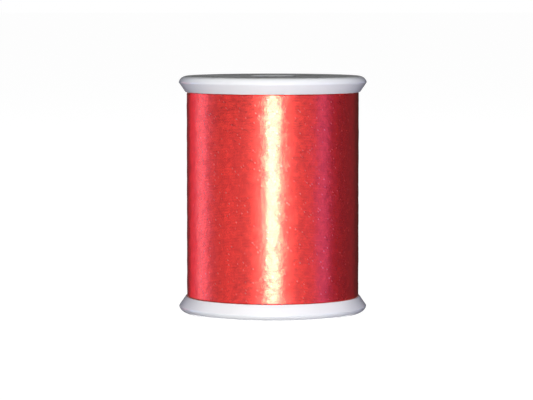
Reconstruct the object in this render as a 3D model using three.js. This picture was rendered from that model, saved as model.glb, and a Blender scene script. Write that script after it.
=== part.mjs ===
// Spool of metallic sewing thread: a one-piece flanged plastic spool and the thread wound on it.
// Millimetres, +Z up. The origin is the middle of the lower end face, on the spool's axis,
// and the spool stands on the flat end face of its lower flange.
import * as THREE from 'three';

// Driving dimensions of the spool
const SPOOL_HEIGHT = 37.8;
const FLANGE_DIAMETER = 30.0;
const FLANGE_THICKNESS = 2.55;
const BARREL_DIAMETER = 14.0;
const BORE_DIAMETER = 7.0;

// Rim of a flange, seen in section: a round shoulder, a narrow lip where the flange is widest,
// and a cone from the lip to the inner face
const SHOULDER_RADIUS = 1.3;
const LIP_SETBACK = 0.95;
const LIP_ROUND = 0.25;
const INNER_EDGE_RADIUS = 13.95;
const INNER_EDGE_ROUND = 0.2;

// Edge of the bore at a flat end face, and the foot of the barrel at a flange
const BORE_CHAMFER = 0.1;
const BARREL_FILLET = 0.6;

// Wound thread
const WINDING_DIAMETER = 27.5;
const WINDING_CLEARANCE = 0.3;
const WINDING_EDGE_ROUND = 0.3;

// Steps round the axis and round the small curves of the sections
const TURN_STEPS = 72;
const SHOULDER_STEPS = 6;
const ROUND_STEPS = 3;

// Points on an arc of a section, from one angle to another, in degrees from the radial direction
function arc(centreRadius, centreHeight, radius, fromDegrees, toDegrees, steps) {
  const points = [];
  for (let i = 0; i <= steps; i += 1) {
    const angle = THREE.MathUtils.degToRad(fromDegrees + ((toDegrees - fromDegrees) * i) / steps);
    const x = centreRadius + radius * Math.cos(angle);
    const y = centreHeight + radius * Math.sin(angle);
    points.push(new THREE.Vector2(x, y));
  }
  return points;
}

// Rim of a flange from its end plane to its cone, as radius and distance from that plane. The shoulder,
// the lip and the cone run into each other without a corner.
function rim() {
  const lip = new THREE.Vector2(FLANGE_DIAMETER / 2 - LIP_ROUND, LIP_SETBACK);
  const rise = SHOULDER_RADIUS - lip.y;
  const run = Math.sqrt((SHOULDER_RADIUS - LIP_ROUND) ** 2 - rise ** 2);
  const across = INNER_EDGE_RADIUS - lip.x;
  const down = FLANGE_THICKNESS - lip.y;
  const coneTurn = Math.atan2(down, across) - Math.acos(LIP_ROUND / Math.hypot(across, down));
  const lipStart = -THREE.MathUtils.radToDeg(Math.atan2(rise, run));
  const lipEnd = THREE.MathUtils.radToDeg(coneTurn);
  return [
    ...arc(lip.x - run, SHOULDER_RADIUS, SHOULDER_RADIUS, -90, lipStart, SHOULDER_STEPS),
    ...arc(lip.x, lip.y, LIP_ROUND, lipStart, lipEnd, ROUND_STEPS).slice(1),
  ];
}

// Half of the spool's section, from the bore over the end face and the rim to the barrel,
// as radius and distance from the end plane
function halfSection() {
  const boreRadius = BORE_DIAMETER / 2;
  const barrelRadius = BARREL_DIAMETER / 2;
  const filletHeight = FLANGE_THICKNESS + BARREL_FILLET;
  return [
    new THREE.Vector2(boreRadius, BORE_CHAMFER),
    new THREE.Vector2(boreRadius + BORE_CHAMFER, 0),
    ...rim(),
    new THREE.Vector2(INNER_EDGE_RADIUS, FLANGE_THICKNESS - INNER_EDGE_ROUND),
    new THREE.Vector2(INNER_EDGE_RADIUS - INNER_EDGE_ROUND, FLANGE_THICKNESS),
    ...arc(barrelRadius + BARREL_FILLET, filletHeight, BARREL_FILLET, -90, -180, ROUND_STEPS),
  ];
}

// Solid of revolution about +Z from a closed section of radius and height, listed anticlockwise
function turned(section) {
  const geometry = new THREE.LatheGeometry([...section, section[0].clone()], TURN_STEPS);
  geometry.rotateX(Math.PI / 2);
  return geometry;
}

// The spool in one piece: two like flanges joined by the barrel, with the bore through all
function spoolGeometry() {
  const lower = halfSection();
  const upper = lower.map((point) => new THREE.Vector2(point.x, SPOOL_HEIGHT - point.y)).reverse();
  return turned([...lower, ...upper]);
}

// The wound thread as one ring that fills the space between the flanges, with rounded edges
function windingGeometry() {
  const inner = BARREL_DIAMETER / 2 + WINDING_CLEARANCE;
  const innerBevel = BARREL_FILLET;
  const outer = WINDING_DIAMETER / 2;
  const low = FLANGE_THICKNESS + WINDING_CLEARANCE;
  const high = SPOOL_HEIGHT - low;
  const round = WINDING_EDGE_ROUND;
  return turned([
    new THREE.Vector2(inner, low + innerBevel),
    new THREE.Vector2(inner + innerBevel, low),
    ...arc(outer - round, low + round, round, -90, 0, ROUND_STEPS),
    ...arc(outer - round, high - round, round, 0, 90, ROUND_STEPS),
    new THREE.Vector2(inner + innerBevel, high),
    new THREE.Vector2(inner, high - innerBevel),
  ]);
}

const whitePlastic = new THREE.MeshStandardMaterial({ color: '#eef0f3', roughness: 0.3, metalness: 0 });
const redThread = new THREE.MeshStandardMaterial({ color: '#d8262f', roughness: 0.35, metalness: 0.85 });

const spool = new THREE.Mesh(spoolGeometry(), whitePlastic);
spool.name = 'spool';

const winding = new THREE.Mesh(windingGeometry(), redThread);
winding.name = 'thread_winding';

const part = new THREE.Group();
part.add(spool, winding);

export default part;
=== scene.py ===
import math

import bpy
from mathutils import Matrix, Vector


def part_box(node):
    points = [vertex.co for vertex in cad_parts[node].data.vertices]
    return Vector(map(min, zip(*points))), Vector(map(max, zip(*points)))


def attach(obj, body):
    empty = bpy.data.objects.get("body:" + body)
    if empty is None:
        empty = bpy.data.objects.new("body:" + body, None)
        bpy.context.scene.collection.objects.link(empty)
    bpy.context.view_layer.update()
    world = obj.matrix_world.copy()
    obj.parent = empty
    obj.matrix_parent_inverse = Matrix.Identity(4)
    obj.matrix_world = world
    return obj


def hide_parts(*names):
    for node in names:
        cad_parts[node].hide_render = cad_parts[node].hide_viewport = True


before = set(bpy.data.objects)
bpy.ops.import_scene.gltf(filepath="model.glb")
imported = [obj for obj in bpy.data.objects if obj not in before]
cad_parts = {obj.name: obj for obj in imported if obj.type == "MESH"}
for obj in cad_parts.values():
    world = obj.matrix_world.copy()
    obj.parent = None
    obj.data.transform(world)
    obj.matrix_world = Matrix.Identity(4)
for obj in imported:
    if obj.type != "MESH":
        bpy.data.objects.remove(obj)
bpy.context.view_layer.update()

# Everything is in metres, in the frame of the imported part: +Z up the spool's axis, origin under its middle.
MM = 0.001
AXIS_STEPS = 288

# Sizes that the frame gives
spool_low, spool_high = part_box("spool")
winding_low, winding_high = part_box("thread_winding")
SPOOL_HEIGHT = spool_high.z - spool_low.z
FLANGE_RADIUS = spool_high.x
WINDING_RADIUS = winding_high.x

# The spool's own sizes, as its maker would state them
FLANGE_THICKNESS = 2.55 * MM
BARREL_RADIUS = 7.0 * MM
BORE_RADIUS = 3.5 * MM
SHOULDER_RADIUS = 1.3 * MM
LIP_SETBACK = 0.95 * MM
LIP_ROUND = 0.25 * MM
INNER_EDGE_RADIUS = 13.95 * MM
BORE_CHAMFER = 0.1 * MM
BARREL_FILLET = 0.6 * MM
FINE_ROUND = 0.06 * MM
SHOULDER_STEPS = 14
LIP_STEPS = 8
FILLET_STEPS = 5

# The wound thread: the pitch of its turns, the depth of its section, and how wide its flat face is
THREAD_PITCH = 0.24 * MM
THREAD_DEPTH = 0.08 * MM
FLAT_SHARE = 0.9
STEPS_PER_TURN = 120
LOWER_LAYERS_DEPTH = 0.06 * MM

# How unevenly the turns lie: their radius wanders by this much over these lengths, and the section rolls
# about the thread's own line. The angles are in degrees.
UNEVENNESS = 0.12 * MM
WANDER_LENGTH = 1.6 * MM
WANDER_HEIGHT = 1.5 * MM
ROLL = 3
ROLL_COARSENESS = 0.7
SEED = 7.0
CREASE_ANGLE = 20

# Patterns of the metallised film. Real wraps are shorter, and are drawn as coarse as they need to be to show.
WRAP_PITCH = 0.36 * MM
WRAP_NOISE_SCALE = 0.6
WRAP_SLANT = 0.4
WRAP_RELIEF = 0.008 * MM
LAY_LENGTH = 0.75 * MM
LAY_HEIGHT = 0.7 * MM
LAY_RELIEF = 0.036 * MM
BLOTCH_SIZE = 0.9 * MM
GAP_FROM = 0.84
GAP_FULL = 0.92

# Patterns of the moulded plastic
SKIN_RIPPLE = 0.9 * MM
SKIN_RELIEF = 0.02 * MM
WEAR_SIZE = 4 * MM

# The photograph's camera, found from the curves of the winding's edges
IMAGE_WIDTH = 533
FOCAL_LENGTH_PIXELS = 2700
CAMERA_DISTANCE = 431.6 * MM
CAMERA_HEIGHT = 49.6 * MM
CAMERA_PITCH = 4.2
CAMERA_OFFSET_LEFT = 1.0 * MM
SENSOR_WIDTH = 36.0

# The studio
FLOOR_HALF_SIZE = 12.0
FLOOR_GLOW = 0.98
ROOM_GLOW = 0.03
LIGHT_DISTANCE = 0.6


def linear(hex_colour):
    """The linear RGBA of an sRGB hex colour such as "d8262f"."""
    channels = [int(hex_colour[i:i + 2], 16) / 255 for i in (0, 2, 4)]
    return [c / 12.92 if c <= 0.04045 else ((c + 0.055) / 1.055) ** 2.4 for c in channels] + [1.0]


def add_node(tree, kind, inputs=None, **settings):
    """Adds a node, sets its settings, and fills each named or numbered input with a value or a link."""
    node = tree.nodes.new(kind)
    for name, value in settings.items():
        setattr(node, name, value)
    for key, value in (inputs or {}).items():
        if isinstance(value, bpy.types.NodeSocket):
            tree.links.new(value, node.inputs[key])
        else:
            node.inputs[key].default_value = value
    return node


# Sections and turned shapes


def arc(centre_radius, centre_height, radius, start, end, steps):
    """Points of a section on an arc, with its angles in degrees from the outward direction."""
    points = []
    for i in range(steps + 1):
        angle = math.radians(start + (end - start) * i / steps)
        outward = Vector((math.cos(angle), math.sin(angle)))
        points.append(Vector((centre_radius, centre_height)) + outward * radius)
    return points


def filleted(corners):
    """The points of a section, from its corners and their fillet radii, where 0 leaves a corner as it is."""
    points = []
    count = len(corners)
    for i, (corner, radius) in enumerate(corners):
        if radius == 0:
            points.append(corner)
            continue
        before = (corners[i - 1][0] - corner).normalized()
        after = (corners[(i + 1) % count][0] - corner).normalized()
        half_angle = before.angle(after) / 2
        middle = (before + after).normalized()
        centre = corner + middle * radius / math.sin(half_angle)
        start = (corner + before * radius / math.tan(half_angle) - centre).normalized()
        end = (corner + after * radius / math.tan(half_angle) - centre).normalized()
        for step in range(FILLET_STEPS + 1):
            points.append(centre + start.slerp(end, step / FILLET_STEPS) * radius)
    return points


def turned_mesh(name, section):
    """A closed mesh of revolution about +Z, from a closed section of radius and height, anticlockwise."""
    count = len(section)
    vertices = []
    for turn in range(AXIS_STEPS):
        angle = 2 * math.pi * turn / AXIS_STEPS
        vertices.extend((p.x * math.cos(angle), p.x * math.sin(angle), p.y) for p in section)
    faces = []
    for turn in range(AXIS_STEPS):
        here = turn * count
        there = (turn + 1) % AXIS_STEPS * count
        for i in range(count):
            j = (i + 1) % count
            faces.append((here + i, there + i, there + j, here + j))
    mesh = bpy.data.meshes.new(name)
    mesh.from_pydata(vertices, [], faces)
    mesh.shade_smooth()
    return mesh


def place(name, mesh, material):
    """Links a finished mesh to the scene as an object at the origin, in its material."""
    piece = bpy.data.objects.new(name, mesh)
    mesh.materials.clear()
    mesh.materials.append(material)
    bpy.context.scene.collection.objects.link(piece)
    return piece


# Pieces


def rim():
    """A flange's rim from its end plane to its cone: a round shoulder that runs into a narrow lip."""
    lip_radius = FLANGE_RADIUS - LIP_ROUND
    rise = SHOULDER_RADIUS - LIP_SETBACK
    run = math.sqrt((SHOULDER_RADIUS - LIP_ROUND) ** 2 - rise ** 2)
    across = INNER_EDGE_RADIUS - lip_radius
    down = FLANGE_THICKNESS - LIP_SETBACK
    lip_start = -math.degrees(math.atan2(rise, run))
    lip_end = math.degrees(math.atan2(down, across) - math.acos(LIP_ROUND / math.hypot(across, down)))
    shoulder = arc(lip_radius - run, SHOULDER_RADIUS, SHOULDER_RADIUS, -90, lip_start, SHOULDER_STEPS)
    return shoulder + arc(lip_radius, LIP_SETBACK, LIP_ROUND, lip_start, lip_end, LIP_STEPS)[1:]


def end_corners():
    """Half of the spool's section, from the bore over the end face and the rim to the barrel, as corners
    with fillets, in radius and distance from the end plane."""
    return [
        (Vector((BORE_RADIUS, BORE_CHAMFER)), FINE_ROUND),
        (Vector((BORE_RADIUS + BORE_CHAMFER, 0)), FINE_ROUND),
        *((point, 0) for point in rim()),
        (Vector((INNER_EDGE_RADIUS, FLANGE_THICKNESS)), FINE_ROUND),
        (Vector((BARREL_RADIUS, FLANGE_THICKNESS)), BARREL_FILLET),
    ]


def make_spool(material):
    """The spool in one piece: two like flanges, the barrel between them and the bore through all."""
    lower = end_corners()
    upper = [(Vector((p.x, SPOOL_HEIGHT - p.y)), radius) for p, radius in reversed(lower)]
    return place("moulded_spool", turned_mesh("moulded_spool", filleted(lower + upper)), material)


def thread_tree():
    """Geometry nodes that lay one thread round the spool in close turns, from flange to flange."""
    tree = bpy.data.node_groups.new("wound thread", "GeometryNodeTree")
    tree.interface.new_socket("Geometry", in_out="OUTPUT", socket_type="NodeSocketGeometry")
    for name, kind in (
        ("Laying radius", "NodeSocketFloat"),
        ("Lowest turn", "NodeSocketFloat"),
        ("Rise", "NodeSocketFloat"),
        ("Turns", "NodeSocketFloat"),
        ("Steps per turn", "NodeSocketInt"),
        ("Depth", "NodeSocketFloat"),
        ("Flat width", "NodeSocketFloat"),
        ("Unevenness", "NodeSocketFloat"),
        ("Roll", "NodeSocketFloat"),
        ("Seed", "NodeSocketFloat"),
        ("Material", "NodeSocketMaterial"),
    ):
        tree.interface.new_socket(name, in_out="INPUT", socket_type=kind)
    given = add_node(tree, "NodeGroupInput").outputs

    spiral = add_node(tree, "GeometryNodeCurveSpiral", {
        "Resolution": given["Steps per turn"], "Rotations": given["Turns"],
        "Start Radius": given["Laying radius"], "End Radius": given["Laying radius"], "Height": given["Rise"],
    })
    position = add_node(tree, "GeometryNodeInputPosition").outputs[0]

    # Each turn rides over the turns below it, so its radius wanders along its length and from turn to turn.
    lengths = Vector((WANDER_LENGTH, WANDER_LENGTH, WANDER_HEIGHT))
    scaled = add_node(tree, "ShaderNodeVectorMath", {0: position, 1: lengths}, operation="DIVIDE")
    wander = add_node(tree, "ShaderNodeTexNoise", {
        "Vector": scaled.outputs[0], "W": given["Seed"], "Scale": 1.0, "Detail": 1.0, "Roughness": 0.4,
    }, noise_dimensions="4D")
    centred = add_node(tree, "ShaderNodeMath", {0: wander.outputs[0], 1: 0.5}, operation="SUBTRACT")
    push = add_node(tree, "ShaderNodeMath", {
        0: centred.outputs[0], 1: given["Unevenness"],
    }, operation="MULTIPLY")
    flat = add_node(tree, "ShaderNodeVectorMath", {0: position, 1: (1, 1, 0)}, operation="MULTIPLY")
    outward = add_node(tree, "ShaderNodeVectorMath", {0: flat.outputs[0]}, operation="NORMALIZE")
    offset = add_node(tree, "ShaderNodeVectorMath", {
        0: outward.outputs[0], "Scale": push.outputs[0],
    }, operation="SCALE")
    raised = add_node(tree, "ShaderNodeCombineXYZ", {2: given["Lowest turn"]})
    moved = add_node(tree, "ShaderNodeVectorMath", {
        0: offset.outputs[0], 1: raised.outputs[0],
    }, operation="ADD")
    laid = add_node(tree, "GeometryNodeSetPosition", {0: spiral.outputs[0], "Offset": moved.outputs[0]})
    upright = add_node(tree, "GeometryNodeSetCurveNormal", {0: laid.outputs[0]}, mode="Z_UP")

    # The flat section rolls a little about the thread's own line.
    roll_noise = add_node(tree, "ShaderNodeTexNoise", {
        "Vector": scaled.outputs[0], "W": given["Seed"], "Scale": ROLL_COARSENESS, "Detail": 0.0,
    }, noise_dimensions="4D")
    roll_centred = add_node(tree, "ShaderNodeMath", {0: roll_noise.outputs[0], 1: 0.5}, operation="SUBTRACT")
    roll = add_node(tree, "ShaderNodeMath", {
        0: roll_centred.outputs[0], 1: given["Roll"],
    }, operation="MULTIPLY")
    rolled = add_node(tree, "GeometryNodeSetCurveTilt", {0: upright.outputs[0], "Tilt": roll.outputs[0]})
    length = add_node(tree, "GeometryNodeSplineParameter")
    measured = add_node(tree, "GeometryNodeStoreNamedAttribute", {
        0: rolled.outputs[0], "Name": "thread_length", "Value": length.outputs["Length"],
    }, data_type="FLOAT", domain="POINT")

    # The section is a flattened hexagon: a flat face outwards, and sloping sides that sink into the turns
    # beside it. A hexagon of radius 1 is the root of 3 deep from flat to flat, and its flats are 1 wide.
    hexagon = add_node(tree, "GeometryNodeCurvePrimitiveCircle", {"Resolution": 6, "Radius": 1.0})
    facing_out = add_node(tree, "GeometryNodeTransform", {
        0: hexagon.outputs[0], "Rotation": (0, 0, math.radians(30)),
    })
    depth_scale = add_node(tree, "ShaderNodeMath", {0: given["Depth"], 1: math.sqrt(3)}, operation="DIVIDE")
    section_size = add_node(tree, "ShaderNodeCombineXYZ", {
        0: depth_scale.outputs[0], 1: given["Flat width"], 2: 1.0,
    })
    section = add_node(tree, "GeometryNodeTransform", {
        0: facing_out.outputs[0], "Scale": section_size.outputs[0],
    })
    across = add_node(tree, "ShaderNodeSeparateXYZ", {0: position})
    section_named = add_node(tree, "GeometryNodeStoreNamedAttribute", {
        0: section.outputs[0], "Name": "thread_across", "Value": across.outputs["Y"],
    }, data_type="FLOAT", domain="POINT")
    thread = add_node(tree, "GeometryNodeCurveToMesh", {
        0: measured.outputs[0], 1: section_named.outputs[0], "Fill Caps": True,
    })
    smooth = add_node(tree, "GeometryNodeSetShadeSmooth", {0: thread.outputs[0]})
    edge_angle = add_node(tree, "GeometryNodeInputMeshEdgeAngle").outputs[0]
    sharp = add_node(tree, "FunctionNodeCompare", {
        0: edge_angle, 1: math.radians(CREASE_ANGLE),
    }, operation="GREATER_THAN")
    creased = add_node(tree, "GeometryNodeSetShadeSmooth", {
        0: smooth.outputs[0], "Selection": sharp.outputs[0], "Shade Smooth": False,
    }, domain="EDGE")
    realized = add_node(tree, "GeometryNodeRealizeInstances", {0: creased.outputs[0]})
    finished = add_node(tree, "GeometryNodeSetMaterial", {
        0: realized.outputs[0], "Material": given["Material"],
    })
    add_node(tree, "NodeGroupOutput", {0: finished.outputs[0]})
    return tree


def from_tree(name, tree, values):
    """Runs a geometry node tree with the given named values and returns its result as a plain mesh object."""
    holder = bpy.data.objects.new(name + "_holder", bpy.data.meshes.new(name + "_holder"))
    bpy.context.scene.collection.objects.link(holder)
    modifier = holder.modifiers.new("nodes", "NODES")
    modifier.node_group = tree
    identifiers = {s.name: s.identifier for s in tree.interface.items_tree if s.in_out == "INPUT"}
    for key, value in values.items():
        modifier[identifiers[key]] = value
    depsgraph = bpy.context.evaluated_depsgraph_get()
    mesh = bpy.data.meshes.new_from_object(holder.evaluated_get(depsgraph))
    mesh.name = name
    bpy.data.objects.remove(holder)
    return mesh


def make_thread(material):
    """The outermost thread: about 130 close turns of a flattened thread that lies a little unevenly."""
    flat_width = THREAD_PITCH * FLAT_SHARE
    lowest = FLANGE_THICKNESS + flat_width
    rise = SPOOL_HEIGHT - 2 * lowest
    mesh = from_tree("wound_thread", thread_tree(), {
        "Laying radius": WINDING_RADIUS - THREAD_DEPTH / 2,
        "Lowest turn": lowest,
        "Rise": rise,
        "Turns": rise / THREAD_PITCH,
        "Steps per turn": STEPS_PER_TURN,
        "Depth": THREAD_DEPTH,
        "Flat width": flat_width,
        "Unevenness": UNEVENNESS,
        "Roll": math.radians(ROLL),
        "Seed": SEED,
        "Material": material,
    })
    return place("wound_thread", mesh, material)


def make_lower_layers(material):
    """The layers under the outermost turns, as one closed ring round the barrel."""
    outer = WINDING_RADIUS - LOWER_LAYERS_DEPTH
    low = FLANGE_THICKNESS
    high = SPOOL_HEIGHT - FLANGE_THICKNESS
    inner = BARREL_RADIUS + BARREL_FILLET
    corners = [Vector((inner, low)), Vector((outer, low)), Vector((outer, high)), Vector((inner, high))]
    return place("lower_layers", turned_mesh("lower_layers", corners), material)


# Materials


def new_material(name):
    """A material with an empty node tree, and that tree."""
    material = bpy.data.materials.new(name)
    material.use_nodes = True
    material.node_tree.nodes.clear()
    return material, material.node_tree


def white_polystyrene():
    """Injection-moulded polystyrene. The eye gets a clean opaque white under a clear gloss, which is bright
    where it turns to a light and dark where it mirrors the room at a low angle."""
    material, tree = new_material("white polystyrene, injection moulded")
    place_on = add_node(tree, "ShaderNodeTexCoord").outputs["Object"]
    # The moulded skin ripples very slightly, and handling has dulled it in soft patches.
    skin = add_node(tree, "ShaderNodeTexNoise", {"Vector": place_on, "Scale": 1 / SKIN_RIPPLE, "Detail": 1.0})
    skin_bump = add_node(tree, "ShaderNodeBump", {
        "Strength": 1.0, "Distance": SKIN_RELIEF, "Height": skin.outputs[0],
    })
    wear = add_node(tree, "ShaderNodeTexNoise", {"Vector": place_on, "Scale": 1 / WEAR_SIZE, "Detail": 4.0})
    gloss = add_node(tree, "ShaderNodeMapRange", {
        "Value": wear.outputs[0], "From Min": 0.3, "From Max": 0.7, "To Min": 0.1, "To Max": 0.18,
    })
    shader = add_node(tree, "ShaderNodeBsdfPrincipled", {
        "Base Color": linear("dcdedf"), "Roughness": gloss.outputs[0], "IOR": 1.59,
        "Normal": skin_bump.outputs[0],
    })
    add_node(tree, "ShaderNodeOutputMaterial", {0: shader.outputs[0]})
    return material


def red_film_thread():
    """Polyester film metallised with aluminium and lacquered red, wrapped round a core and wound flat.
    The eye gets a deep red metal with a sharp, nearly white streak along the spool, a yellow fringe beside
    the streak, a soft sheen from the lacquer, and small patches and pale flecks all over."""
    material, tree = new_material("red lacquered metallised film thread")
    # The film is wrapped round its core in a helix, and each wrap lies at its own slight angle.
    length = add_node(tree, "ShaderNodeAttribute", attribute_name="thread_length").outputs["Fac"]
    across = add_node(tree, "ShaderNodeAttribute", attribute_name="thread_across").outputs["Fac"]
    slanted = add_node(tree, "ShaderNodeMath", {
        0: across, 1: WRAP_SLANT, 2: length,
    }, operation="MULTIPLY_ADD")
    wraps = add_node(tree, "ShaderNodeMath", {0: slanted.outputs[0], 1: 1 / WRAP_PITCH}, operation="MULTIPLY")
    wrap_height = add_node(tree, "ShaderNodeTexNoise", {
        "W": wraps.outputs[0], "Scale": WRAP_NOISE_SCALE, "Detail": 1.0,
    }, noise_dimensions="1D")
    wrap_bump = add_node(tree, "ShaderNodeBump", {
        "Strength": 1.0, "Distance": WRAP_RELIEF, "Height": wrap_height.outputs[0],
    })
    # Turns that lie beside each other tilt together, so the shine breaks up in patches.
    place_on = add_node(tree, "ShaderNodeTexCoord").outputs["Object"]
    stretched = add_node(tree, "ShaderNodeVectorMath", {
        0: place_on, 1: Vector((LAY_LENGTH, LAY_LENGTH, LAY_HEIGHT)),
    }, operation="DIVIDE")
    lay_height = add_node(tree, "ShaderNodeTexNoise", {
        "Vector": stretched.outputs[0], "Scale": 1.0, "Detail": 2.0, "Roughness": 0.5,
    })
    lay_bump = add_node(tree, "ShaderNodeBump", {
        "Strength": 1.0, "Distance": LAY_RELIEF, "Height": lay_height.outputs[0],
        "Normal": wrap_bump.outputs[0],
    })
    # The lacquer is a little thicker in some places than in others.
    blotches = add_node(tree, "ShaderNodeTexNoise", {
        "Vector": place_on, "Scale": 1 / BLOTCH_SIZE, "Detail": 2.0, "Roughness": 0.6,
    })
    tone_range = add_node(tree, "ShaderNodeMapRange", {
        "Value": blotches.outputs[0], "From Min": 0.35, "From Max": 0.65,
    })
    film = add_node(tree, "ShaderNodeMix", {
        0: tone_range.outputs[0], 6: linear("ea2c23"), 7: linear("ff3829"),
    }, data_type="RGBA")
    # Here and there the pale core shows between two wraps.
    gaps = add_node(tree, "ShaderNodeTexNoise", {
        "W": wraps.outputs[0], "Scale": WRAP_NOISE_SCALE, "Detail": 0.0,
    }, noise_dimensions="1D")
    gap_share = add_node(tree, "ShaderNodeMapRange", {
        "Value": gaps.outputs[0], "From Min": GAP_FROM, "From Max": GAP_FULL, "To Max": 0.14,
    })
    metal_share = add_node(tree, "ShaderNodeMapRange", {
        "Value": gaps.outputs[0], "From Min": GAP_FROM, "From Max": GAP_FULL, "To Min": 0.85, "To Max": 0.7,
    })
    colour = add_node(tree, "ShaderNodeMix", {
        0: gap_share.outputs[0], 6: film.outputs[2], 7: linear("ffb4a8"),
    }, data_type="RGBA")
    shader = add_node(tree, "ShaderNodeBsdfPrincipled", {
        "Base Color": colour.outputs[2], "Metallic": metal_share.outputs[0], "Roughness": 0.26,
        "Specular IOR Level": 1.0, "Specular Tint": linear("ffe99a"),
        "Coat Weight": 0.65, "Coat Roughness": 0.42, "Coat IOR": 1.6, "Normal": lay_bump.outputs[0],
    })
    add_node(tree, "ShaderNodeOutputMaterial", {0: shader.outputs[0]})
    return material


# Studio


def make_floor():
    """A pale floor that is lit from within like white acrylic, so it is even, bright and without shadow."""
    material, tree = new_material("lit white acrylic floor")
    shader = add_node(tree, "ShaderNodeBsdfPrincipled", {
        "Base Color": linear("606060"), "Roughness": 0.6, "Specular IOR Level": 0.0,
        "Emission Color": linear("ffffff"), "Emission Strength": FLOOR_GLOW,
    })
    add_node(tree, "ShaderNodeOutputMaterial", {0: shader.outputs[0]})
    mesh = bpy.data.meshes.new("floor")
    half = FLOOR_HALF_SIZE
    corners = [(x * half, y * half, spool_low.z) for x, y in ((-1, -1), (1, -1), (1, 1), (-1, 1))]
    mesh.from_pydata(corners, [], [(0, 1, 2, 3)])
    floor = place("floor", mesh, material)
    floor.visible_glossy = False
    floor.visible_shadow = False
    floor.visible_diffuse = False


def make_softbox(name, azimuth, elevation, width, height, radiance, colour):
    """A rectangular softbox that faces the middle of the spool. Azimuth 0 is the camera's side and grows to
    the camera's right, and width and height are angles seen from the spool, in degrees."""
    middle = Vector((0, 0, SPOOL_HEIGHT / 2))
    a, e = math.radians(azimuth), math.radians(elevation)
    direction = Vector((math.sin(a) * math.cos(e), -math.cos(a) * math.cos(e), math.sin(e)))
    data = bpy.data.lights.new(name, "AREA")
    data.shape = "RECTANGLE"
    data.size = 2 * LIGHT_DISTANCE * math.tan(math.radians(width / 2))
    data.size_y = 2 * LIGHT_DISTANCE * math.tan(math.radians(height / 2))
    # A one-sided panel of this radiance sends out radiance times pi for each square metre.
    data.energy = radiance * math.pi * data.size * data.size_y
    data.color = linear(colour)[:3]
    light = bpy.data.objects.new(name, data)
    light.location = middle + direction * LIGHT_DISTANCE
    light.rotation_euler = (-direction).to_track_quat("-Z", "Y").to_euler()
    light.visible_camera = False
    bpy.context.scene.collection.objects.link(light)


def make_world():
    """White to the camera, as behind a cut-out, and a dim even room to everything else."""
    world = bpy.data.worlds.new("studio")
    world.use_nodes = True
    tree = world.node_tree
    tree.nodes.clear()
    path = add_node(tree, "ShaderNodeLightPath")
    room = add_node(tree, "ShaderNodeBackground", {"Color": linear("ffffff"), "Strength": ROOM_GLOW})
    backdrop = add_node(tree, "ShaderNodeBackground", {"Color": linear("ffffff"), "Strength": 1.0})
    mixed = add_node(tree, "ShaderNodeMixShader", {
        0: path.outputs["Is Camera Ray"], 1: room.outputs[0], 2: backdrop.outputs[0],
    })
    add_node(tree, "ShaderNodeOutputWorld", {0: mixed.outputs[0]})
    bpy.context.scene.world = world


def make_camera():
    """The photograph's camera, in front of the spool and a little above it."""
    data = bpy.data.cameras.new("camera")
    data.sensor_width = SENSOR_WIDTH
    data.lens = SENSOR_WIDTH * FOCAL_LENGTH_PIXELS / IMAGE_WIDTH
    data.clip_start = 0.01
    data.clip_end = 100
    camera = bpy.data.objects.new("camera", data)
    camera.location = (-CAMERA_OFFSET_LEFT, -CAMERA_DISTANCE, CAMERA_HEIGHT)
    camera.rotation_euler = (math.radians(90 - CAMERA_PITCH), 0, 0)
    bpy.context.scene.collection.objects.link(camera)
    bpy.context.scene.camera = camera


def make_studio():
    """A plain white studio. A metal shows the lights that it mirrors, so each band of the winding has its
    own softbox, and together they light the plastic."""
    make_world()
    make_floor()
    # Name, azimuth, elevation, width and height in degrees, radiance, colour
    for light in (
        # The narrow key makes the white streak, and the two high lights in front and above light the plastic.
        ("key", 0, -3.5, 14, 9, 89, "fffdfb"),
        ("front high fill", 0, 30, 50, 20, 1.7, "ffffff"),
        ("overhead", 0, 85, 70, 70, 0.83, "ffffff"),
        # The wide fills give the red on both sides of the streak.
        ("left fill", -36, -5, 54, 15, 1.26, "dbdbff"),
        ("left side fill", -79, -5, 38, 15, 0.81, "f7ebff"),
        ("right fill", 36, -5, 48, 15, 1.3, "dbdbff"),
        # The tinted strips make the violet band and the dark right edge, and the pink band and red left edge.
        ("right blue strip", 69, -4.5, 17, 18, 3.9, "7a93ff"),
        ("right side fill", 87, -4.5, 18, 18, 0.29, "ff89bc"),
        ("right rear fill", 118, -4.5, 44, 20, 0.17, "e397ff"),
        ("left rear strip", -109, -4.5, 22, 20, 4.24, "9cb9ff"),
        ("left red strip", -133, -4.5, 26, 30, 0.765, "ff4972"),
        # The rest lights the back.
        ("left high fill", -120, 45, 50, 30, 0.6, "ffffff"),
        ("right high fill", 120, 45, 50, 30, 0.6, "ffffff"),
        ("back low fill", 180, -40, 30, 30, 4.0, "ffffff"),
    ):
        make_softbox(*light)


# The part

make_camera()
plastic = white_polystyrene()
thread_finish = red_film_thread()

spool = make_spool(plastic)
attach(spool, "root")
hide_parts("spool")

thread = make_thread(thread_finish)
lower_layers = make_lower_layers(thread_finish)
for piece in (thread, lower_layers):
    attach(piece, "root")
    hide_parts("thread_winding")

make_studio()
bpy.context.scene.view_settings.view_transform = "Standard"
